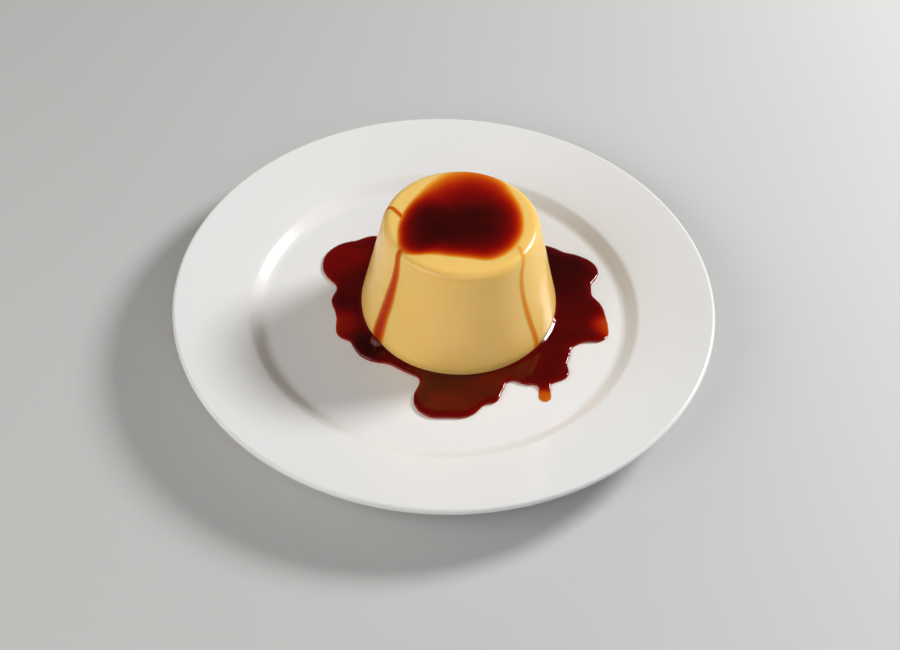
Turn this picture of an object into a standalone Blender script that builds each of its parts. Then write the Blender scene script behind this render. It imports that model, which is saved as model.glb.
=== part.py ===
# Creme caramel flan turned out on its dessert plate, with its pool of caramel sauce.
# Metres, +Z up. The origin is the middle of the plate, at the height of the table.

import math

import bmesh
import bpy
from mathutils import Vector

MM = 0.001

# Plate: a round porcelain dessert plate with a broad rim and a shallow well
PLATE_RADIUS = 0.100
PLATE_HEIGHT = 0.0187         # where the rim's slope would meet its edge, before rounding
PLATE_STEPS = 72
WELL_RADIUS = 0.0672
WELL_FLOOR = 0.0085           # height of the floor that the flan stands on
WELL_TOP_RADIUS = 0.0724
WELL_TOP_HEIGHT = 0.0121
RIM_MIDDLE_RADIUS = 0.0880    # the rim is a little dished: it steepens past here
RIM_MIDDLE_HEIGHT = 0.0152
PORCELAIN_THICKNESS = 0.0042
LIP_THICKNESS = 0.0026
FOOT_RADIUS = 0.0570          # middle of the foot ring's flat underside
FOOT_WIDTH = 0.0028

# Flan: a custard from a small round mould, upside down, a little off the plate's middle
FLAN_CENTRE = (0.0053, 0.0032)
FLAN_BASE_RADIUS = 0.0364
FLAN_TOP_RADIUS = 0.0278
FLAN_TOP_HEIGHT = 0.0520      # height of the custard's own top above the table
FLAN_SHOULDER = 0.0044
FLAN_FOOT_HEIGHT = 0.0042     # the side stands upright below this height
FLAN_STEPS = 64

# Caramel: the pool that ran down round the flan, and the layer left on its top
POOL_DEPTH = 0.0020
POOL_EDGE = 0.0011            # rounding of the pool's outer edge
POOL_STEP = 0.0014
CAP_DEPTH = 0.0010
CAP_EDGE = 0.0005
CAP_STEP = 0.0018
LOBE_BLEND = 0.0010           # how softly neighbouring lobes flow into each other

GAP = 0.0003                  # clearance between pieces that touch

# Each lobe of sauce is a disc: x, y and radius in millimetres, from the plate's middle
POOL_LOBES = (
    (5.3, 3.2, 39.5),                                                        # round the flan
    (-34.7, 22.3, 12.6), (-27.5, 29.8, 8.5),                                 # back left
    (-32.0, 10.5, 8.5), (-35.8, 3.0, 6.6), (-33.2, -2.5, 7.0),               # left
    (-31.8, -9.2, 8.0), (-35.8, -13.0, 3.0), (-22.5, -16.5, 11.0),           # front left
    (-1.2, -44.0, 8.7), (0.5, -36.5, 8.0), (6.0, -43.2, 9.2),                # front
    (14.5, -39.0, 5.5), (17.4, -41.4, 3.6), (19.6, -36.6, 3.2),
    (22.5, -29.0, 5.5), (30.5, -31.0, 4.6), (36.0, -26.8, 8.6),              # front right
    (42.6, -29.4, 3.4), (38.0, -19.5, 8.8), (45.5, -13.0, 4.0),
    (37.3, -37.5, 1.9), (37.2, -41.0, 2.3),                                  # the drip
    (52.5, -4.6, 8.4), (56.5, -9.0, 4.6), (46.0, -2.0, 13.0),                # right
    (51.5, 1.8, 8.0), (45.5, 12.5, 10.0),
    (51.3, 22.3, 7.3), (47.0, 24.0, 7.8), (36.0, 24.0, 12.3),                # back right
)
CAP_LOBES = (
    (6.8, 5.5, 19.6), (-6.5, -3.0, 9.6), (-10.0, -7.6, 5.8),
    (13.6, -7.4, 8.8), (8.0, 12.6, 14.2),
)


def clear_scene():
    for old in list(bpy.data.objects):
        bpy.data.objects.remove(old, do_unlink=True)


def plain_material(name, colour, roughness, metallic=0.0):
    material = bpy.data.materials.new(name)
    material.use_nodes = True
    shader = material.node_tree.nodes["Principled BSDF"]
    shader.inputs["Base Color"].default_value = (*colour, 1.0)
    shader.inputs["Roughness"].default_value = roughness
    shader.inputs["Metallic"].default_value = metallic
    material.diffuse_color = (*colour, 1.0)
    return material


def porcelain():
    return plain_material("porcelain", (0.84, 0.83, 0.81), 0.12)


def custard_finish():
    return plain_material("custard", (0.83, 0.56, 0.22), 0.35)


def caramel_finish():
    return plain_material("caramel", (0.13, 0.012, 0.003), 0.06)


def add_object(name, mesh, material, collection):
    piece = bpy.data.objects.new(name, mesh)
    mesh.materials.clear()
    mesh.materials.append(material)
    collection.objects.link(piece)
    return piece


def rounded_profile(corners, arc_step=math.radians(30)):
    """The (radius, height) points of a polyline whose inner corners are rounded by their fillets."""
    points = [Vector(corners[0][:2])]
    for before, corner, after in zip(corners, corners[1:], corners[2:]):
        here = Vector(corner[:2])
        fillet = corner[2]
        to_before = (Vector(before[:2]) - here).normalized()
        to_after = (Vector(after[:2]) - here).normalized()
        turn = math.pi - to_before.angle(to_after)
        if fillet == 0 or turn < 1e-4:
            points.append(here)
            continue
        centre = here + (to_before + to_after).normalized() * fillet / math.cos(turn / 2)
        start = here + to_before * fillet * math.tan(turn / 2) - centre
        end = here + to_after * fillet * math.tan(turn / 2) - centre
        pieces = max(1, math.ceil(turn / arc_step))
        sweep = start.angle_signed(end)
        for k in range(pieces + 1):
            angle = -sweep * k / pieces
            cos, sin = math.cos(angle), math.sin(angle)
            spoke = Vector((start.x * cos - start.y * sin, start.x * sin + start.y * cos))
            points.append(centre + spoke)
    points.append(Vector(corners[-1][:2]))
    return points


def turned(name, corners, steps, material, collection):
    """A solid of revolution; the corners run from the axis on top, down the outside, to the axis."""
    points = rounded_profile(corners)
    mesh = bpy.data.meshes.new(name)
    mesh.from_pydata([(p.x, 0, p.y) for p in points],
                     [(k, k + 1) for k in range(len(points) - 1)], [])
    piece = add_object(name, mesh, material, collection)
    screw = piece.modifiers.new("turn", "SCREW")
    screw.axis = "Z"
    screw.angle = math.tau
    screw.steps = screw.render_steps = steps
    screw.use_merge_vertices = True
    screw.merge_threshold = 0.00001
    screw.use_smooth_shade = True
    return piece


def plate(collection):
    wall = PORCELAIN_THICKNESS
    under_floor = WELL_FLOOR - wall
    foot_in = FOOT_RADIUS - FOOT_WIDTH / 2
    foot_out = FOOT_RADIUS + FOOT_WIDTH / 2
    corners = [
        (0, WELL_FLOOR, 0),
        (WELL_RADIUS, WELL_FLOOR, 0.0060),
        (WELL_TOP_RADIUS, WELL_TOP_HEIGHT, 0.0050),
        (RIM_MIDDLE_RADIUS, RIM_MIDDLE_HEIGHT, 0.0800),
        (PLATE_RADIUS, PLATE_HEIGHT, 0.0011),
        (PLATE_RADIUS, PLATE_HEIGHT - LIP_THICKNESS, 0.0011),
        (RIM_MIDDLE_RADIUS, RIM_MIDDLE_HEIGHT - wall * 0.80, 0.0800),
        (WELL_TOP_RADIUS + 0.0012, WELL_TOP_HEIGHT - wall * 0.95, 0.0060),
        (WELL_RADIUS - 0.0010, under_floor + 0.0004, 0.0060),
        (foot_out + 0.0012, under_floor, 0.0010),
        (foot_out, 0, 0.0004),
        (foot_in, 0, 0.0004),
        (foot_in - 0.0012, under_floor, 0.0010),
        (0, under_floor, 0),
    ]
    return turned("plate", corners, PLATE_STEPS, porcelain(), collection)


def custard(collection):
    base = WELL_FLOOR + GAP
    corners = [
        (0, FLAN_TOP_HEIGHT, 0),
        (FLAN_TOP_RADIUS, FLAN_TOP_HEIGHT, FLAN_SHOULDER),
        (FLAN_BASE_RADIUS, WELL_FLOOR + FLAN_FOOT_HEIGHT, 0.0120),
        (FLAN_BASE_RADIUS - 0.0003, base, 0.0012),
        (0, base, 0),
    ]
    piece = turned("custard", corners, FLAN_STEPS, custard_finish(), collection)
    piece.location = (*FLAN_CENTRE, 0)
    return piece


def sauce_level(point, lobes):
    """Distance from the sauce's edge: under zero inside, with the lobes blended where they meet."""
    depths = [((point - Vector(lobe[:2]) * MM).length - lobe[2] * MM) / -LOBE_BLEND for lobe in lobes]
    deepest = max(depths)
    return -LOBE_BLEND * (deepest + math.log(sum(math.exp(d - deepest) for d in depths)))


def onto_edge(point, lobes):
    """Slides a point onto the sauce's edge, and gives the direction out of the sauce there."""
    nudge = 1e-6
    for _ in range(6):
        level = sauce_level(point, lobes)
        slope = Vector((
            sauce_level(point + Vector((nudge, 0)), lobes) - level,
            sauce_level(point + Vector((0, nudge)), lobes) - level,
        )) / nudge
        point = point - slope * level / slope.length_squared
    return point, slope.normalized()


def sauce_outline(lobes, step):
    """Walks once round the edge of the sauce, one point for each step."""
    far_right = max(lobe[0] + lobe[2] for lobe in lobes) * MM
    point, out = onto_edge(Vector((far_right, 0)), lobes)
    points = [point]
    while True:
        along = Vector((-out.y, out.x))
        point, out = onto_edge(points[-1] + along * step, lobes)
        if len(points) > 4 and (point - points[0]).length < step * 0.8:
            return points
        points.append(point)


def circle_outline(radius, count):
    centre = Vector(FLAN_CENTRE)
    return [centre + Vector((math.cos(math.tau * k / count), math.sin(math.tau * k / count))) * radius
            for k in range(count)]


def poured(name, outlines, bottom, depth, edge, material, collection):
    """A flat layer of sauce from one outline, less any hole, with its outer top edge rounded over."""
    curve = bpy.data.curves.new(name, "CURVE")
    curve.dimensions = "2D"
    curve.fill_mode = "BOTH"
    curve.extrude = depth / 2
    for outline in outlines:
        spline = curve.splines.new("POLY")
        spline.points.add(len(outline) - 1)
        for spline_point, p in zip(spline.points, outline):
            spline_point.co = (p.x, p.y, 0, 1)
        spline.use_cyclic_u = True
    flat = bpy.data.objects.new(name + "_outline", curve)
    collection.objects.link(flat)
    evaluated = flat.evaluated_get(bpy.context.evaluated_depsgraph_get())
    mesh = bpy.data.meshes.new_from_object(evaluated)
    bpy.data.objects.remove(flat)
    bpy.data.curves.remove(curve)

    bm = bmesh.new()
    bm.from_mesh(mesh)
    bmesh.ops.remove_doubles(bm, verts=bm.verts, dist=0.00001)
    bmesh.ops.translate(bm, verts=bm.verts, vec=(0, 0, bottom + depth / 2))
    middle = Vector(FLAN_CENTRE)
    hole = max((p - middle).length for p in outlines[1]) if len(outlines) > 1 else 0
    rim = [e for e in bm.edges
           if all(v.co.z > bottom + depth * 0.9 for v in e.verts)
           and e.calc_face_angle(0) > math.radians(60)
           and (e.verts[0].co.xy - middle).length > hole + 0.0004]
    bmesh.ops.bevel(bm, geom=rim, offset=edge, segments=2, profile=0.5,
                    affect="EDGES", clamp_overlap=True)
    bmesh.ops.recalc_face_normals(bm, faces=bm.faces)
    bm.to_mesh(mesh)
    bm.free()
    mesh.shade_smooth()
    mesh.set_sharp_from_angle(angle=math.radians(40))
    return add_object(name, mesh, material, collection)


def caramel_pool(collection):
    outlines = [
        sauce_outline(POOL_LOBES, POOL_STEP),
        circle_outline(FLAN_BASE_RADIUS + GAP, FLAN_STEPS),
    ]
    return poured("caramel_pool", outlines, WELL_FLOOR + GAP, POOL_DEPTH, POOL_EDGE,
                  caramel_finish(), collection)


def caramel_cap(collection):
    return poured("caramel_cap", [sauce_outline(CAP_LOBES, CAP_STEP)], FLAN_TOP_HEIGHT + GAP,
                  CAP_DEPTH, CAP_EDGE, caramel_finish(), collection)


def main():
    clear_scene()
    collection = bpy.data.collections.new("creme_caramel")
    bpy.context.scene.collection.children.link(collection)
    plate(collection)
    custard(collection)
    caramel_pool(collection)
    caramel_cap(collection)


main()
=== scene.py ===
import math

import bmesh
import bpy
from mathutils import Matrix, Vector, kdtree, noise


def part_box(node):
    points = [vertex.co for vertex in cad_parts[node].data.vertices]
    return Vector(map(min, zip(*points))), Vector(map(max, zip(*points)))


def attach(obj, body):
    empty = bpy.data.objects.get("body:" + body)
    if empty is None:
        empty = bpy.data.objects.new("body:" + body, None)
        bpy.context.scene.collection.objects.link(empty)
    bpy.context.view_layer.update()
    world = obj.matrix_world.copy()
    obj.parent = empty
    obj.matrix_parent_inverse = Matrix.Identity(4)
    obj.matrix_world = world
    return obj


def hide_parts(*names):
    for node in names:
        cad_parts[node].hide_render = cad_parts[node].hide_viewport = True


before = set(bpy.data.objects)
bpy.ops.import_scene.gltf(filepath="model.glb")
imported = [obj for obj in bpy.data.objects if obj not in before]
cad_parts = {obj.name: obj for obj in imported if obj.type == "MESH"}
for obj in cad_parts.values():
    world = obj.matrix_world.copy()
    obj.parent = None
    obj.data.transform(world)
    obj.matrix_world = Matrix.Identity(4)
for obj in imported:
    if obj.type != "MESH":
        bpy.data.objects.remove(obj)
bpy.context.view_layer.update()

scene = bpy.context.scene
mm = 0.001

plateLow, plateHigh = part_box("plate")
flanLow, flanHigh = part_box("custard")
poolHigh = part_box("caramel_pool")[1]
plateMiddle = (plateLow + plateHigh) / 2
flanMiddle = (flanLow + flanHigh) / 2
tableHeight = plateLow.z
standPoint = Vector((plateMiddle.x, plateMiddle.y, tableHeight))      # where the plate stands


# shaping helpers

def roundCorners(corners, arcStep=math.radians(9)):
    # corners are (radius, height, fillet); the two ends stay as they are
    points = [Vector(corners[0][:2])]
    for before, corner, after in zip(corners, corners[1:], corners[2:]):
        here, fillet = Vector(corner[:2]), corner[2]
        toBefore = (Vector(before[:2]) - here).normalized()
        toAfter = (Vector(after[:2]) - here).normalized()
        turn = math.pi - toBefore.angle(toAfter)
        centre = here + (toBefore + toAfter).normalized() * fillet / math.cos(turn / 2)
        start = here + toBefore * fillet * math.tan(turn / 2) - centre
        end = here + toAfter * fillet * math.tan(turn / 2) - centre
        pieces = max(1, math.ceil(turn / arcStep))
        sweep = -start.angle_signed(end)
        for k in range(pieces + 1):
            spoke = start.copy()
            spoke.rotate(Matrix.Rotation(sweep * k / pieces, 2))
            points.append(centre + spoke)
    points.append(Vector(corners[-1][:2]))
    return points


def resample(points, spacing):
    # the same line with evenly spaced points; returns the points and the distance along it
    lengths = [0.0]
    for a, b in zip(points, points[1:]):
        lengths.append(lengths[-1] + (b - a).length)
    count = max(2, round(lengths[-1] / spacing))
    even, k = [], 0
    for i in range(count + 1):
        goal = lengths[-1] * i / count
        while k < len(points) - 2 and lengths[k + 1] < goal:
            k += 1
        share = (goal - lengths[k]) / max(lengths[k + 1] - lengths[k], 1e-12)
        even.append(points[k].lerp(points[k + 1], min(share, 1)))
    return even, lengths[-1]


def smoothStep(value, low, high):
    t = min(max((value - low) / (high - low), 0), 1)
    return t * t * (3 - 2 * t)


def curveStep(before, start, end, after, share):
    # a point between start and end on the smooth line through all four
    return 0.5 * (2 * start + (end - before) * share
                  + (2 * before - 5 * start + 4 * end - after) * share ** 2
                  + (3 * start - before - 3 * end + after) * share ** 3)


def spinLine(points, steps, name):
    # turns a line of (radius, height) points about the upright axis into a closed skin
    bm = bmesh.new()
    verts = [bm.verts.new((p.x, 0, p.y)) for p in points]
    edges = [bm.edges.new(pair) for pair in zip(verts, verts[1:])]
    bmesh.ops.spin(bm, geom=verts + edges, cent=(0, 0, 0), axis=(0, 0, 1),
                   angle=math.tau, steps=steps, use_merge=True, use_duplicate=False)
    bmesh.ops.remove_doubles(bm, verts=bm.verts, dist=0.005 * mm)
    bmesh.ops.recalc_face_normals(bm, faces=bm.faces)
    mesh = bpy.data.meshes.new(name)
    bm.to_mesh(mesh)
    bm.free()
    mesh.shade_smooth()
    return mesh


def addPiece(name, mesh, material, replaced=None):
    piece = bpy.data.objects.new(name, mesh)
    mesh.materials.clear()
    mesh.materials.append(material)
    scene.collection.objects.link(piece)
    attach(piece, "root")
    if replaced:
        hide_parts(replaced)
    return piece


def paintDepth(mesh, values):
    layer = mesh.attributes.new("sauceDepth", "FLOAT", "POINT")
    layer.data.foreach_set("value", values)


# material helpers

def newMaterial(name):
    material = bpy.data.materials.new(name)
    material.use_nodes = True
    nodes = material.node_tree.nodes
    return material, nodes, material.node_tree.links, nodes["Principled BSDF"]


def newGroup(name, inputs, outputs):
    group = bpy.data.node_groups.new(name, "ShaderNodeTree")
    for label, kind, value in inputs:
        socket = group.interface.new_socket(name=label, in_out="INPUT", socket_type=kind)
        socket.default_value = value
    for label, kind in outputs:
        group.interface.new_socket(name=label, in_out="OUTPUT", socket_type=kind)
    return group, group.nodes.new("NodeGroupInput"), group.nodes.new("NodeGroupOutput")


def useGroup(nodes, group, **values):
    node = nodes.new("ShaderNodeGroup")
    node.node_tree = group
    for label, value in values.items():
        node.inputs[label].default_value = value
    return node


def mathNode(tree, operation, *values):
    node = tree.nodes.new("ShaderNodeMath")
    node.operation = operation
    for socket, value in zip(node.inputs, values):
        if isinstance(value, (int, float)):
            socket.default_value = value
        else:
            tree.links.new(value, socket)
    return node.outputs[0]


def mixColour(tree, factor, first, second, blend="MIX"):
    node = tree.nodes.new("ShaderNodeMix")
    node.data_type = "RGBA"
    node.blend_type = blend
    for socket, value in zip((node.inputs["Factor"], node.inputs["A"], node.inputs["B"]),
                             (factor, first, second)):
        if isinstance(value, (int, float)):
            socket.default_value = value
        elif isinstance(value, tuple):
            socket.default_value = (*value, 1)
        else:
            tree.links.new(value, socket)
    return node.outputs["Result"]


def addBump(material, height, strength, distance):
    nodes, links = material.node_tree.nodes, material.node_tree.links
    bump = nodes.new("ShaderNodeBump")
    bump.inputs["Strength"].default_value = strength
    bump.inputs["Distance"].default_value = distance
    links.new(height, bump.inputs["Height"])
    links.new(bump.outputs["Normal"], nodes["Principled BSDF"].inputs["Normal"])


# soft clouding: a slow, uneven drift that every finish uses
def cloudingGroup():
    group, inside, outside = newGroup(
        "clouding",
        [("Size", "NodeSocketFloat", 40.0), ("Detail", "NodeSocketFloat", 3.0)],
        [("Value", "NodeSocketFloat")])
    place = group.nodes.new("ShaderNodeTexCoord")
    cloud = group.nodes.new("ShaderNodeTexNoise")
    cloud.inputs["Roughness"].default_value = 0.55
    group.links.new(place.outputs["Object"], cloud.inputs["Vector"])
    group.links.new(inside.outputs["Size"], cloud.inputs["Scale"])
    group.links.new(inside.outputs["Detail"], cloud.inputs["Detail"])
    group.links.new(cloud.outputs["Fac"], outside.inputs["Value"])
    return group


tintLook = {
    "fade": {"Red": 1.0, "Green": 4.3, "Blue": 11.5},     # how fast each colour is lost with depth
    "glow": (0.0045, 0.0007, 0.0003),                     # what comes back from the deepest caramel
    "swirl": 95.0,                                        # finer with a higher number
}


# the colour that is left of what lies under a layer of caramel
def caramelTintGroup(clouding):
    group, inside, outside = newGroup(
        "caramelTint",
        [("Depth", "NodeSocketFloat", 1.0), ("Under", "NodeSocketColor", (0.8, 0.5, 0.15, 1)),
         ("Drift", "NodeSocketFloat", 0.25)],
        [("Color", "NodeSocketColor")])
    cloud = useGroup(group.nodes, clouding, Size=tintLook["swirl"], Detail=2.0)
    sway = mathNode(group, "SUBTRACT", cloud.outputs["Value"], 0.5)
    sway = mathNode(group, "MULTIPLY", sway, inside.outputs["Drift"])
    sway = mathNode(group, "MULTIPLY_ADD", sway, 2.0, 1.0)
    depth = mathNode(group, "MULTIPLY", inside.outputs["Depth"], sway)
    kept = group.nodes.new("ShaderNodeCombineColor")
    for channel, rate in tintLook["fade"].items():
        power = mathNode(group, "MULTIPLY", depth, -rate)
        group.links.new(mathNode(group, "EXPONENT", power), kept.inputs[channel])
    through = mixColour(group, 1.0, inside.outputs["Under"], kept.outputs["Color"], "MULTIPLY")
    total = mixColour(group, 1.0, through, tintLook["glow"], "ADD")
    group.links.new(total, outside.inputs["Color"])
    return group


# the custard's own colour, shared by the custard and by the thin caramel that lies on it
def custardColourGroup(clouding):
    group, inside, outside = newGroup("custardColour", [], [("Color", "NodeSocketColor")])
    cloud = useGroup(group.nodes, clouding, Size=60.0, Detail=4.0)
    colour = mixColour(group, cloud.outputs["Value"], custardLook["egg"], custardLook["cream"])
    group.links.new(colour, outside.inputs["Color"])
    return group


# plate

plateShape = {
    "wellRadius": 67.2 * mm,
    "wellFloor": 8.5 * mm,
    "wellFillet": 6.0 * mm,
    "wallTopRadius": 72.4 * mm,
    "wallTopHeight": 12.1 * mm,
    "wallTopFillet": 5.0 * mm,
    "rimMiddleRadius": 88.0 * mm,
    "rimMiddleHeight": 15.2 * mm,
    "rimEdgeHeight": 18.7 * mm,     # before the lip is rounded
    "rimSweep": 80.0 * mm,          # the rim's slight bend outwards
    "lip": 2.6 * mm,
    "lipFillet": 1.1 * mm,
    "wall": 4.2 * mm,
    "underFillet": 6.0 * mm,
    "footRadius": 57.0 * mm,
    "footWidth": 2.8 * mm,
    "footFlare": 1.2 * mm,          # how much wider the foot ring is where it meets the plate
    "footFillet": 1.0 * mm,
    "footEdge": 0.4 * mm,
    "arcStep": math.radians(7),
    "steps": 224,
}


def makePlate(material):
    shape = plateShape
    radius = (plateHigh.x - plateLow.x) / 2
    wall, lip, flare = shape["wall"], shape["lip"], shape["footFlare"]
    underFloor = shape["wellFloor"] - wall
    footIn = shape["footRadius"] - shape["footWidth"] / 2
    footOut = shape["footRadius"] + shape["footWidth"] / 2
    corners = [
        (0, shape["wellFloor"], 0),
        (shape["wellRadius"], shape["wellFloor"], shape["wellFillet"]),
        (shape["wallTopRadius"], shape["wallTopHeight"], shape["wallTopFillet"]),
        (shape["rimMiddleRadius"], shape["rimMiddleHeight"], shape["rimSweep"]),
        (radius, shape["rimEdgeHeight"], shape["lipFillet"]),
        (radius, shape["rimEdgeHeight"] - lip, shape["lipFillet"]),
        (shape["rimMiddleRadius"], shape["rimMiddleHeight"] - wall * 0.8, shape["rimSweep"]),
        (shape["wallTopRadius"] + 1.2 * mm, shape["wallTopHeight"] - wall * 0.95, shape["underFillet"]),
        (shape["wellRadius"] - 1.0 * mm, underFloor + 0.4 * mm, shape["underFillet"]),
        (footOut + flare, underFloor, shape["footFillet"]),
        (footOut, 0, shape["footEdge"]),
        (footIn, 0, shape["footEdge"]),
        (footIn - flare, underFloor, shape["footFillet"]),
        (0, underFloor, 0),
    ]
    line = roundCorners(corners, shape["arcStep"])
    mesh = spinLine(line, shape["steps"], "plateMesh")
    mesh.transform(Matrix.Translation(standPoint))
    return addPiece("dessertPlate", mesh, material, "plate")


porcelainLook = {
    "glaze": (0.80, 0.80, 0.797),
    "bareClay": (0.62, 0.59, 0.54),
    "bareHeight": 0.35 * mm,        # the foot ring is unglazed up to here
    "roughness": 0.19,
    "ripple": 0.12,                 # faint unevenness of the glaze
    "ior": 1.5,
}


def porcelainMaterial(clouding):
    material, nodes, links, shader = newMaterial("whiteGlaze")
    tree = material.node_tree
    cloud = useGroup(nodes, clouding, Size=22.0, Detail=2.0)
    glaze = mixColour(tree, cloud.outputs["Value"], porcelainLook["glaze"],
                      tuple(c * 0.985 for c in porcelainLook["glaze"]))
    place = nodes.new("ShaderNodeTexCoord")
    split = nodes.new("ShaderNodeSeparateXYZ")
    links.new(place.outputs["Object"], split.inputs[0])
    foot = mathNode(tree, "LESS_THAN", split.outputs["Z"], tableHeight + porcelainLook["bareHeight"])
    links.new(mixColour(tree, foot, glaze, porcelainLook["bareClay"]), shader.inputs["Base Color"])
    satin = mathNode(tree, "MULTIPLY", cloud.outputs["Value"], 0.10)
    satin = mathNode(tree, "ADD", satin, porcelainLook["roughness"] - 0.05)
    dry = mathNode(tree, "MULTIPLY", foot, 0.6)
    links.new(mathNode(tree, "ADD", satin, dry), shader.inputs["Roughness"])
    ripple = useGroup(nodes, clouding, Size=55.0, Detail=1.0)
    addBump(material, ripple.outputs["Value"], porcelainLook["ripple"], 0.3 * mm)
    shader.inputs["IOR"].default_value = porcelainLook["ior"]
    return material


# custard

flanShape = {
    "topRadius": 27.8 * mm,
    "baseRadius": 36.4 * mm,
    "shoulder": 3.5 * mm,
    "footHeight": 4.2 * mm,
    "footSweep": 12.0 * mm,         # the bend from the side into the upright foot
    "footTuck": 0.3 * mm,
    "footFillet": 1.2 * mm,
    "gap": 0.05 * mm,               # between the custard and the plate
    "flatTop": 20.0 * mm,           # the top is flat at least this far out
    "unevenness": 0.10 * mm,
    "unevenFrom": 18.0 * mm,        # the way down over which the unevenness grows
    "unevenTo": 30.0 * mm,
    "spacing": 0.55 * mm,
    "arcStep": math.radians(5),
    "steps": 200,
}


def flanOutline():
    shape = flanShape
    floor = plateShape["wellFloor"]
    return roundCorners([
        (0, flanHigh.z, 0),
        (shape["topRadius"], flanHigh.z, shape["shoulder"]),
        (shape["baseRadius"], floor + shape["footHeight"], shape["footSweep"]),
        (shape["baseRadius"] - shape["footTuck"], floor + shape["gap"], shape["footFillet"]),
        (0, floor + shape["gap"], 0),
    ], shape["arcStep"])


flanLine, flanLength = resample(flanOutline(), flanShape["spacing"])


def flanSkin(travel, angle, lift=0.0):
    # a point of the flan's skin: travel is the way down from the middle of the top
    place = min(max(travel / flanLength * (len(flanLine) - 1), 0), len(flanLine) - 1.001)
    k = int(place)
    here = flanLine[k].lerp(flanLine[k + 1], place - k)
    back = flanLine[max(k - 1, 0)]
    ahead = flanLine[min(k + 2, len(flanLine) - 1)]
    along = (ahead - back).normalized()
    across = Vector((-along.y, along.x))
    if travel < flanShape["flatTop"]:
        across = Vector((0, 1))
    wave = noise.noise(Vector((math.cos(angle) * 1.3, math.sin(angle) * 1.3, travel * 60)))
    wave *= flanShape["unevenness"] * smoothStep(travel, flanShape["unevenFrom"], flanShape["unevenTo"])
    p = here + across * (lift + wave)
    return Vector((flanMiddle.x + p.x * math.cos(angle), flanMiddle.y + p.x * math.sin(angle), p.y))


def makeCustard(material):
    # each ring starts as far down as its number, so that it can be laid on the skin
    rings = [Vector((p.x, -k * mm)) for k, p in enumerate(flanLine)]
    mesh = spinLine(rings, flanShape["steps"], "custardMesh")
    for v in mesh.vertices:
        travel = flanLength * -v.co.z / mm / (len(flanLine) - 1)
        v.co = flanSkin(travel, math.atan2(v.co.y, v.co.x))
    return addPiece("custardFlan", mesh, material, "custard")


custardLook = {
    "egg": (0.89, 0.560, 0.140),
    "cream": (0.93, 0.625, 0.195),
    "roughness": 0.235,
    "softness": 0.6,                     # share of the light that goes through the surface
    "scatter": 2.6 * mm,
    "scatterColour": (1.0, 0.5, 0.2),
    "grain": 0.08,                       # faint unevenness of the surface
    "ior": 1.45,
}


def custardMaterial(custardColour, clouding):
    material, nodes, links, shader = newMaterial("silkyCustard")
    tree = material.node_tree
    colour = useGroup(nodes, custardColour)
    links.new(colour.outputs["Color"], shader.inputs["Base Color"])
    shader.inputs["Subsurface Weight"].default_value = custardLook["softness"]
    shader.inputs["Subsurface Radius"].default_value = custardLook["scatterColour"]
    shader.inputs["Subsurface Scale"].default_value = custardLook["scatter"]
    shader.inputs["IOR"].default_value = custardLook["ior"]
    fine = useGroup(nodes, clouding, Size=260.0, Detail=2.0)
    wet = mathNode(tree, "MULTIPLY", fine.outputs["Value"], 0.06)
    links.new(mathNode(tree, "ADD", wet, custardLook["roughness"] - 0.03), shader.inputs["Roughness"])
    addBump(material, fine.outputs["Value"], custardLook["grain"], 0.05 * mm)
    return material


# caramel pool

poolShape = {
    "grain": 0.55 * mm,           # size of the remeshed faces
    "smoothing": 4,
    # places where the sauce is thinner or thicker: x, y, reach and share of the full depth
    "spots": (
        (37.2, -41.0, 4.0, 0.25), (61.0, -5.5, 6.2, 0.37), (-37.5, -9.0, 6.5, 0.50),
        (-38.0, 21.0, 13.0, 0.78), (2.0, -48.0, 8.0, 0.90), (43.0, 20.0, 13.0, 1.35),
        (-27.0, -20.8, 6.5, 1.50),
    ),
    "thickness": 0.62,            # share of the full depth that the sauce fills
    "thinEdge": 4.0 * mm,         # width of the slightly thinner edge
    "footClimb": 0.9 * mm,        # how far it creeps up the flan's right and left
    "climbWidth": 0.5 * mm,
    "intoFlan": 1.6 * mm,
    "intoPlate": 0.15 * mm,
}
weldReach = 0.01 * mm             # CAD corners this close to each other are one


def sauceOutline(node):
    # the edge that the CAD solid's upright wall makes with its flat underside
    bm = bmesh.new()
    bm.from_mesh(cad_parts[node].data)
    bmesh.ops.remove_doubles(bm, verts=bm.verts, dist=weldReach)
    low = min(v.co.z for v in bm.verts)
    rim = [e for e in bm.edges
           if all(v.co.z < low + 0.05 * mm for v in e.verts) and e.calc_face_angle(0) > 1.0]
    points = [v.co.copy() for e in rim for v in e.verts]
    bm.free()
    return points


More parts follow.
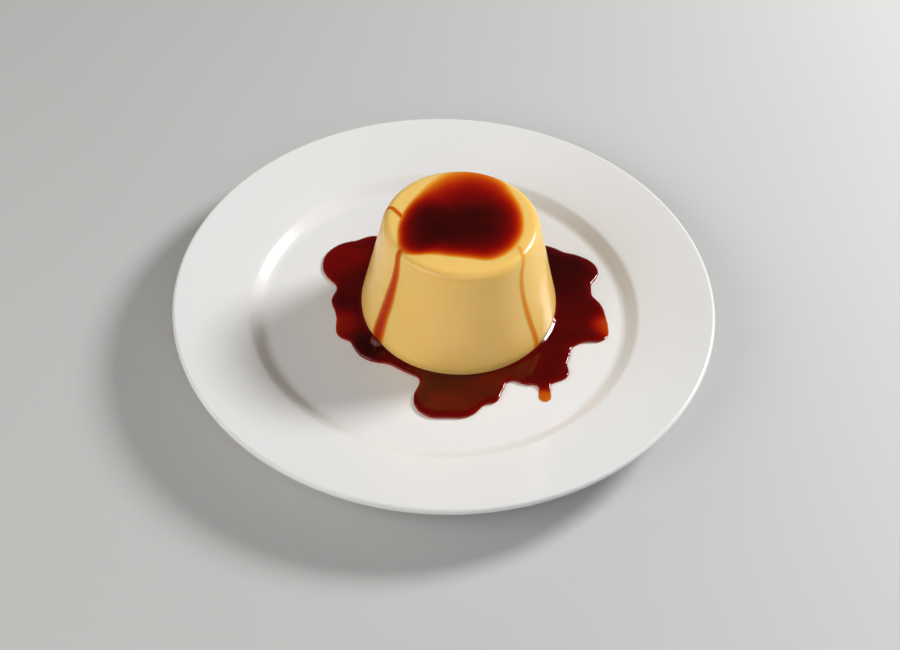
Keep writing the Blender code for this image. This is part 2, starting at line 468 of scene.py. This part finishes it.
def makePool(material):
    shape = poolShape
    flanRadius = flanShape["baseRadius"]
    bm = bmesh.new()
    bm.from_mesh(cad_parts["caramel_pool"].data)
    bmesh.ops.remove_doubles(bm, verts=bm.verts, dist=weldReach)
    # the ring's inner wall goes a little way into the custard
    for v in bm.verts:
        fromFlan = v.co.xy - flanMiddle.xy
        if fromFlan.length < flanRadius + 0.5 * mm:
            v.co.xy = flanMiddle.xy + fromFlan.normalized() * (flanRadius - shape["intoFlan"])
    mesh = bpy.data.meshes.new("poolMesh")
    bm.to_mesh(mesh)
    bm.free()
    mesh.materials.clear()
    piece = bpy.data.objects.new("caramelPool", mesh)
    scene.collection.objects.link(piece)
    remesh = piece.modifiers.new("grain", "REMESH")
    remesh.mode = "VOXEL"
    remesh.voxel_size = shape["grain"]
    finished = piece.evaluated_get(bpy.context.evaluated_depsgraph_get())
    mesh = bpy.data.meshes.new_from_object(finished)
    mesh.name = "poolSauce"
    bpy.data.objects.remove(piece)

    outer = [p for p in sauceOutline("caramel_pool")
             if (p.xy - flanMiddle.xy).length > flanRadius + 1.0 * mm]
    edgeTree = kdtree.KDTree(len(outer))
    for k, p in enumerate(outer):
        edgeTree.insert((p.x, p.y, 0), k)
    edgeTree.balance()

    bm = bmesh.new()
    bm.from_mesh(mesh)
    for _ in range(shape["smoothing"]):
        bmesh.ops.smooth_vert(bm, verts=bm.verts, factor=0.5,
                              use_axis_x=True, use_axis_y=True, use_axis_z=True)
    low = min(v.co.z for v in bm.verts)
    high = max(v.co.z for v in bm.verts)
    floor = plateShape["wellFloor"]
    fullDepth = (poolHigh.z - floor) * shape["thickness"]
    depths = []
    for v in bm.verts:
        share = (v.co.z - low) / (high - low)
        fromEdge = edgeTree.find((v.co.x, v.co.y, 0))[2]
        scale = 1.0
        for x, y, reach, part in shape["spots"]:
            away = (v.co.xy - Vector((x, y)) * mm).length / (reach * mm)
            scale *= 1 + (part - 1) * math.exp(-away ** 4)
        scale *= 0.8 + 0.2 * smoothStep(fromEdge, 0, shape["thinEdge"])
        fromFlan = v.co.xy - flanMiddle.xy
        aside = abs(fromFlan.normalized().x)
        climb = shape["footClimb"] * (0.25 + 0.75 * smoothStep(aside, 0.35, 0.9))
        climb *= math.exp(-max(fromFlan.length - flanRadius, 0) / shape["climbWidth"])
        top = fullDepth * scale + climb
        v.co.z = floor - shape["intoPlate"] + share * (top + shape["intoPlate"])
        depths.append(max(v.co.z - floor - climb * 1.5, 0.15 * mm) / mm)
    bmesh.ops.recalc_face_normals(bm, faces=bm.faces)
    bm.to_mesh(mesh)
    bm.free()
    mesh.shade_smooth()
    paintDepth(mesh, depths)
    return addPiece("caramelPool", mesh, material, "caramel_pool")


caramelLook = {
    "roughness": 0.05,
    "density": 1.72,          # fade for each millimetre of sauce
    "drift": 0.22,
    "ior": 1.38,
}


def sauceMaterial(name, caramelTint, roughness):
    material, nodes, links, shader = newMaterial(name)
    tree = material.node_tree
    depth = nodes.new("ShaderNodeAttribute")
    depth.attribute_name = "sauceDepth"
    tint = useGroup(nodes, caramelTint, Under=(*porcelainLook["glaze"], 1), Drift=caramelLook["drift"])
    thick = mathNode(tree, "MULTIPLY", depth.outputs["Fac"], caramelLook["density"])
    links.new(thick, tint.inputs["Depth"])
    links.new(tint.outputs["Color"], shader.inputs["Base Color"])
    shader.inputs["Roughness"].default_value = roughness
    shader.inputs["IOR"].default_value = caramelLook["ior"]
    return material


# caramel on top, and the runs down the side

capShape = {
    "thickness": 0.95 * mm,
    "sunk": 0.05 * mm,            # how far its thin edge lies under the custard's skin
    "underside": 0.4 * mm,
    "rows": 64,
    "steps": 200,
    "dark": 3.45,                 # how dark the deepest part is
    "core": 6.0 * mm,             # the hollow in the middle where it stays deepest
    # every 20 degrees from the right: how far it reaches over the skin and how softly it fades, in mm
    "reach": (
        (22.9, 7.6), (23.3, 8.2), (24.6, 10.8), (28.0, 17.0), (30.0, 22.0), (28.0, 22.5),
        (24.2, 19.0), (21.5, 10.5), (21.2, 5.8), (22.3, 5.4), (24.4, 5.2), (27.0, 6.6),
        (20.8, 6.3), (19.0, 6.2), (19.7, 6.7), (22.8, 8.0), (23.3, 7.4), (23.1, 7.0),
    ),
}


def reachAround(rows, angle):
    place = (angle / math.tau % 1) * len(rows)
    k = int(place)
    near = [Vector(rows[(k + i) % len(rows)]) for i in (-1, 0, 1, 2)]
    return curveStep(*near, place - k) * mm


def makeCap(material):
    shape = capShape
    rows = shape["rows"]
    top = [Vector((k / rows, 0)) for k in range(rows + 1)]
    under = [Vector((k / rows, -1)) for k in range(rows, -1, -1)]
    mesh = spinLine(top + under, shape["steps"], "capMesh")
    depths = []
    for v in mesh.vertices:
        angle = math.atan2(v.co.y, v.co.x)
        reach, soft = reachAround(shape["reach"], angle)
        travel = math.hypot(v.co.x, v.co.y) * reach
        inward = (reach - travel) / soft
        layer = 1 - math.exp(-max(inward, 0) ** 1.35)
        hollow = math.exp(-(travel / shape["core"]) ** 2)
        share = 1 - (1 - layer) * (1 - hollow)
        if v.co.z < -0.5:
            lift = -shape["underside"] * (1 + 0.5 * min(inward, 1))
        else:
            lift = shape["thickness"] * share ** 0.7 - shape["sunk"]
        v.co = flanSkin(travel, angle, lift)
        depths.append(shape["dark"] * share)
    mesh.update()
    paintDepth(mesh, depths)
    return addPiece("caramelTop", mesh, material, "caramel_cap")


filmLooks = {
    "caramelGlaze": {"drift": 0.20, "roughness": 0.09, "shine": 0.5, "ior": 1.36},
    "caramelRun": {"drift": 0.10, "roughness": 0.32, "shine": 0.22, "ior": 1.36},
}


def filmMaterial(name, caramelTint, custardColour):
    look = filmLooks[name]
    material, nodes, links, shader = newMaterial(name)
    under = useGroup(nodes, custardColour)
    depth = nodes.new("ShaderNodeAttribute")
    depth.attribute_name = "sauceDepth"
    tint = useGroup(nodes, caramelTint, Drift=look["drift"])
    links.new(under.outputs["Color"], tint.inputs["Under"])
    links.new(depth.outputs["Fac"], tint.inputs["Depth"])
    links.new(tint.outputs["Color"], shader.inputs["Base Color"])
    shader.inputs["Roughness"].default_value = look["roughness"]
    shader.inputs["IOR"].default_value = look["ior"]
    shader.inputs["Specular IOR Level"].default_value = look["shine"]
    return material


# each run: its way down as (angle, travel in mm), then half width, height and depth at start and end
runShapes = {
    "caramelRunLeft": {
        "way": ((-146, 21.5), (-143.2, 26.0), (-140.6, 30.5), (-139.4, 37.0), (-140.4, 46.0),
                (-142.2, 55.0), (-143.3, 63.0), (-144, 70.5)),
        "halfWidth": (1.35, 3.5), "height": (0.16, 0.34), "depth": (0.48, 0.76),
    },
    "caramelRunArch": {
        "way": ((181, 20.0), (176, 21.6), (171, 23.6), (167, 26.0), (167.5, 28.4),
                (173, 29.8), (180, 30.8), (187, 31.5)),
        "halfWidth": (1.10, 1.10), "height": (0.14, 0.12), "depth": (0.50, 0.30),
    },
    "caramelRunRight": {
        "way": ((-29, 22.2), (-33, 25.0), (-39, 29.5), (-42.6, 35.0), (-43.2, 42.0),
                (-42.0, 49.0), (-40, 56.0), (-38, 62.5), (-36.7, 68.0), (-36, 72.0)),
        "halfWidth": (1.20, 1.90), "height": (0.12, 0.18), "depth": (0.12, 0.29),
    },
}
runBuild = {
    "grain": 0.45 * mm,
    "columns": 12,
    "bendSteps": 12,              # points between two given places
    "sunk": 0.03 * mm,
    "wall": 0.5 * mm,
    "startFade": 0.16,            # shares of the length over which the two ends are rounded
    "endFade": 0.03,
    "wander": 0.12,
}


def makeRun(name, material):
    shape, build = runShapes[name], runBuild
    way = [Vector((math.radians(a), t * mm, 0)) for a, t in shape["way"]]
    end = len(way) - 1
    bends = []
    for k in range(end):
        near = [way[min(max(k + i, 0), end)] for i in (-1, 0, 1, 2)]
        bends += [curveStep(*near, i / build["bendSteps"]) for i in range(build["bendSteps"])]
    bends.append(way[-1])
    points = [flanSkin(p.y, p.x) for p in bends]
    total = sum((b - a).length for a, b in zip(points, points[1:]))
    rows = max(12, round(total / build["grain"]))
    bm = bmesh.new()
    bmesh.ops.create_grid(bm, x_segments=build["columns"], y_segments=rows, size=0.5)
    depths = []
    for v in bm.verts:
        down, side = v.co.y + 0.5, v.co.x * 2         # 0 to 1 along the run, -1 to 1 across it
        place = down * (len(bends) - 1)
        k = min(int(place), len(bends) - 2)
        angle, travel = (bends[k].lerp(bends[k + 1], place - k)).xy
        heading = bends[k + 1] - bends[k]
        radius = math.hypot(*(flanSkin(travel, angle) - flanMiddle).xy)
        step = Vector((heading.x * radius, heading.y)).normalized()
        spread = smoothStep(down, 0.05, 0.95)
        full = min(1, down / build["startFade"], (1 - down) / build["endFade"])
        ends = math.sqrt(max(0.0, 1 - (1 - full) ** 2))
        half, height, strength = (first * (1 - spread) + last * spread
                                  for first, last in (shape["halfWidth"], shape["height"], shape["depth"]))
        half *= mm * (0.3 + 0.7 * ends)
        half *= 1 + build["wander"] * noise.noise(Vector((down * 9, 3.1, 0.7)))
        dome = (1 - side * side) ** 1.3
        lift = height * mm * dome * ends - build["sunk"]
        angle += side * half * step.y / radius
        travel -= side * half * step.x
        v.co = flanSkin(travel, angle, lift)
        depths.append(strength * dome * ends)
    bm.faces.ensure_lookup_table()
    bm.normal_update()
    middle = bm.faces[len(bm.faces) // 2]
    outward = middle.calc_center_median() - flanMiddle
    if middle.normal.dot(outward) < 0:
        bmesh.ops.reverse_faces(bm, faces=bm.faces)
    mesh = bpy.data.meshes.new(name + "Mesh")
    bm.to_mesh(mesh)
    bm.free()
    mesh.shade_smooth()
    paintDepth(mesh, depths)
    piece = addPiece(name, mesh, material)
    solid = piece.modifiers.new("body", "SOLIDIFY")
    solid.thickness = build["wall"]
    solid.offset = -1
    return piece


beadShape = {
    "place": (-23.6 * mm, -18.1 * mm),      # at the foot of the left run
    "radius": 3.9 * mm,
    "height": 4.0 * mm,
    "roughness": 0.34,
    "depth": 1.25,                # how dark it is, in mm of sauce
    "rings": 24,
    "steps": 96,
}


def makeBead(material):
    shape = beadShape
    line = []
    for k in range(shape["rings"] + 1):
        turn = math.radians(90 * k / shape["rings"])
        line.append(Vector((shape["radius"] * math.sin(turn), shape["height"] * math.cos(turn) ** 1.3)))
    line.append(Vector((shape["radius"], -0.1 * mm)))        # a little way into the plate
    line.append(Vector((0, -0.1 * mm)))
    mesh = spinLine(line, shape["steps"], "beadMesh")
    mesh.transform(Matrix.Translation((*shape["place"], plateShape["wellFloor"])))
    paintDepth(mesh, [shape["depth"]] * len(mesh.vertices))
    return addPiece("caramelBead", mesh, material)


# table, light and camera

tableLook = {
    "colour": (0.575, 0.567, 0.560),
    "size": 6.0,
    "roughness": 0.55,
}


def makeTable(clouding):
    bm = bmesh.new()
    bmesh.ops.create_grid(bm, x_segments=1, y_segments=1, size=tableLook["size"] / 2)
    bmesh.ops.translate(bm, verts=bm.verts, vec=standPoint)
    mesh = bpy.data.meshes.new("tableMesh")
    bm.to_mesh(mesh)
    bm.free()
    material, nodes, links, shader = newMaterial("paleTable")
    cloud = useGroup(nodes, clouding, Size=6.0, Detail=2.0)
    colour = mixColour(material.node_tree, cloud.outputs["Value"], tableLook["colour"],
                       tuple(c * 0.97 for c in tableLook["colour"]))
    links.new(colour, shader.inputs["Base Color"])
    shader.inputs["Roughness"].default_value = tableLook["roughness"]
    mesh.materials.append(material)
    table = bpy.data.objects.new("paleTable", mesh)
    scene.collection.objects.link(table)


# azimuth is counted from +X towards +Y, both angles in degrees; distance and size in metres
lightSetup = {
    "keyLight": {"azimuth": 29, "elevation": 34, "distance": 0.95,
                 "size": 0.27, "power": 8.9, "colour": (1, 1, 1)},
    "frontLeftLight": {"azimuth": -140, "elevation": 37, "distance": 1.10,
                       "size": 0.72, "power": 4.4, "colour": (1, 0.99, 0.975)},
    "frontLight": {"azimuth": -82, "elevation": 40, "distance": 1.10,
                   "size": 0.80, "power": 2.5, "colour": (1, 1, 1)},
    "leftLight": {"azimuth": 178, "elevation": 24, "distance": 1.20,
                  "size": 0.80, "power": 2.7, "colour": (1, 0.96, 0.9)},
}
roomLook = {
    "light": (0.075, 0.075, 0.075),
    "seen": (0.56, 0.555, 0.55),
}
cameraSetup = {
    "lens": 65.0,
    "elevation": 47.16,
    "roll": 1.90,
    "distance": 0.5904,
    "aim": (2.4 * mm, -16.5 * mm, 18.5 * mm),      # from the middle of the plate's foot
}


def makeLights():
    for name, setup in lightSetup.items():
        data = bpy.data.lights.new(name, "AREA")
        data.shape = "DISK"
        data.size = setup["size"]
        data.energy = setup["power"]
        data.color = setup["colour"]
        light = bpy.data.objects.new(name, data)
        a, e = math.radians(setup["azimuth"]), math.radians(setup["elevation"])
        out = Vector((math.cos(a) * math.cos(e), math.sin(a) * math.cos(e), math.sin(e)))
        light.location = standPoint + out * setup["distance"]
        light.rotation_euler = out.to_track_quat("Z", "Y").to_euler()
        scene.collection.objects.link(light)
    world = bpy.data.worlds.new("room")
    world.use_nodes = True
    nodes, links = world.node_tree.nodes, world.node_tree.links
    ambient = nodes["Background"]
    ambient.inputs["Color"].default_value = (*roomLook["light"], 1)
    seen = nodes.new("ShaderNodeBackground")
    seen.inputs["Color"].default_value = (*roomLook["seen"], 1)
    ray = nodes.new("ShaderNodeLightPath")
    mix = nodes.new("ShaderNodeMixShader")
    links.new(ray.outputs["Is Camera Ray"], mix.inputs[0])
    links.new(ambient.outputs[0], mix.inputs[1])
    links.new(seen.outputs[0], mix.inputs[2])
    links.new(mix.outputs[0], nodes["World Output"].inputs["Surface"])
    scene.world = world


def makeCamera():
    data = bpy.data.cameras.new("mainCamera")
    data.lens = cameraSetup["lens"]
    data.sensor_width = 36
    data.clip_start = 0.01
    camera = bpy.data.objects.new("mainCamera", data)
    tilt = math.radians(90 - cameraSetup["elevation"])
    turn = Matrix.Rotation(tilt, 4, "X") @ Matrix.Rotation(math.radians(cameraSetup["roll"]), 4, "Z")
    aim = standPoint + Vector(cameraSetup["aim"])
    back = turn @ Vector((0, 0, cameraSetup["distance"]))
    camera.matrix_world = Matrix.Translation(aim + back) @ turn
    scene.collection.objects.link(camera)
    scene.camera = camera


scene.view_settings.view_transform = "Standard"
scene.view_settings.look = "None"

clouding = cloudingGroup()
caramelTint = caramelTintGroup(clouding)
custardColour = custardColourGroup(clouding)

makePlate(porcelainMaterial(clouding))
print("plate done")
makeCustard(custardMaterial(custardColour, clouding))
print("custard done")
makePool(sauceMaterial("darkCaramel", caramelTint, caramelLook["roughness"]))
makeBead(sauceMaterial("beadCaramel", caramelTint, beadShape["roughness"]))
print("pool done")
makeCap(filmMaterial("caramelGlaze", caramelTint, custardColour))
print("caramel top done")
runMaterial = filmMaterial("caramelRun", caramelTint, custardColour)
for runName in runShapes:
    makeRun(runName, runMaterial)
print("runs done")
makeTable(clouding)
makeLights()
makeCamera()
print("stage done")
